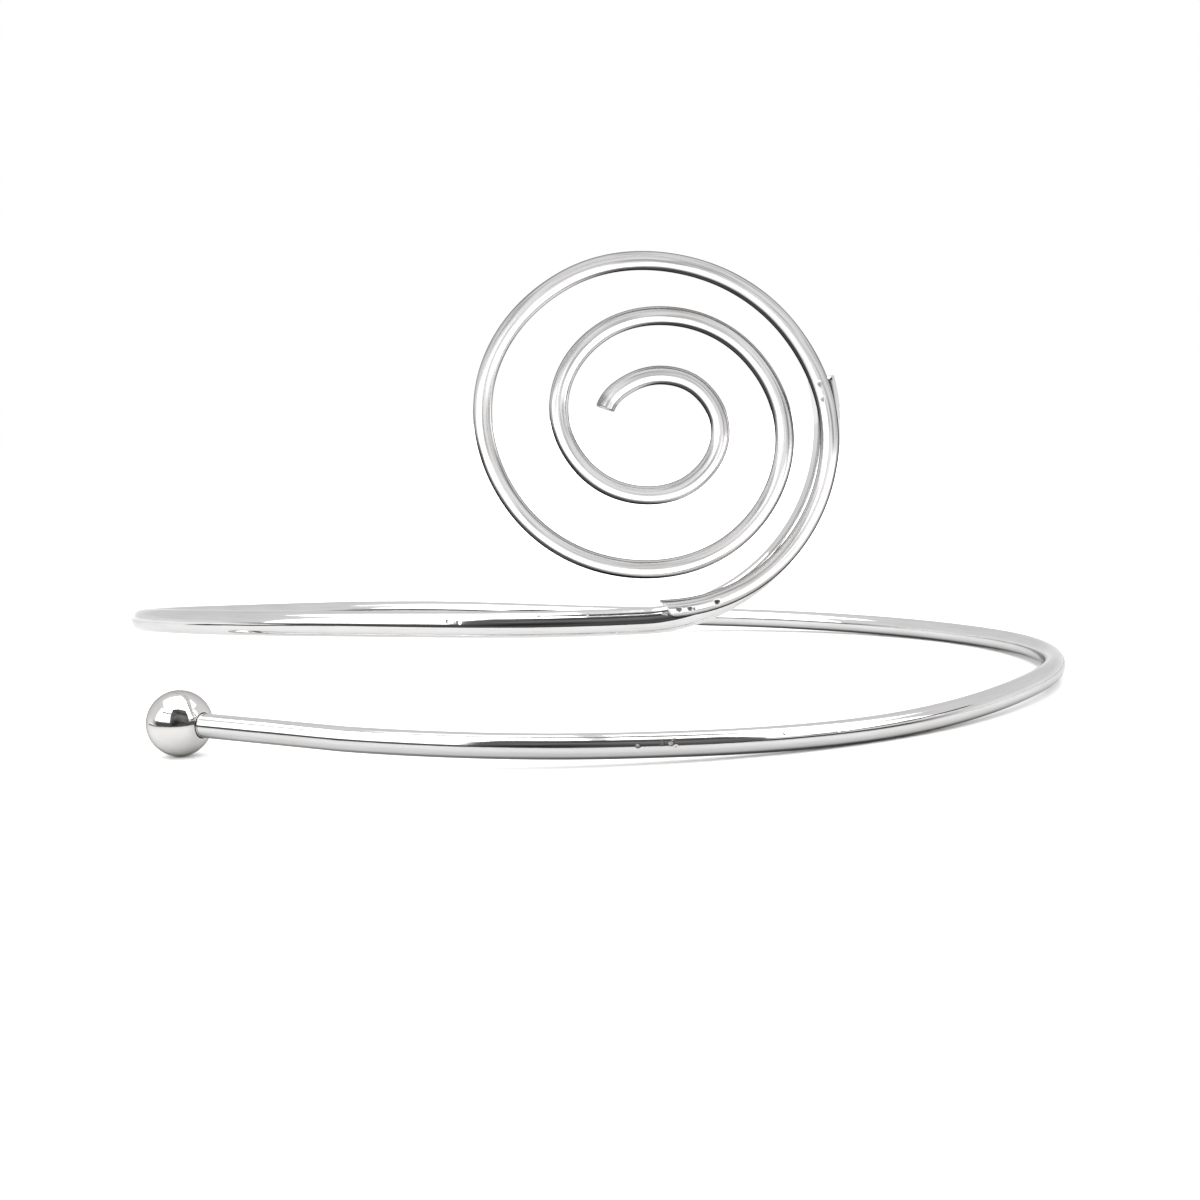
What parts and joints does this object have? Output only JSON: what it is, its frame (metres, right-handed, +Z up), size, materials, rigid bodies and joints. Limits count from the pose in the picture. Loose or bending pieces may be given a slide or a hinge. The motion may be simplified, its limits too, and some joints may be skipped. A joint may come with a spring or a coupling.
{
  "type": "upper arm cuff",
  "caption": "Open upper arm cuff of round polished wire: a ball at one end, the other end turned up and soldered behind a flat wire swirl.",
  "frame": {"origin": "on the ring's axis, level with the surface that the cuff lies on", "axes": "+Z up along the ring's axis, -Y towards the front with the swirl, -X towards the side where the ball lies"},
  "size_m": [0.0876, 0.0873, 0.0387],
  "materials": {
    "wire_metal": "polished silver-coloured plating, lightly marked",
    "ball_metal": "mirror-polished silver-coloured plating"
  },
  "bodies": {
    "root": {"band_and_swirl": "wire_metal", "end_ball": "ball_metal"}
  },
  "joints": []
}
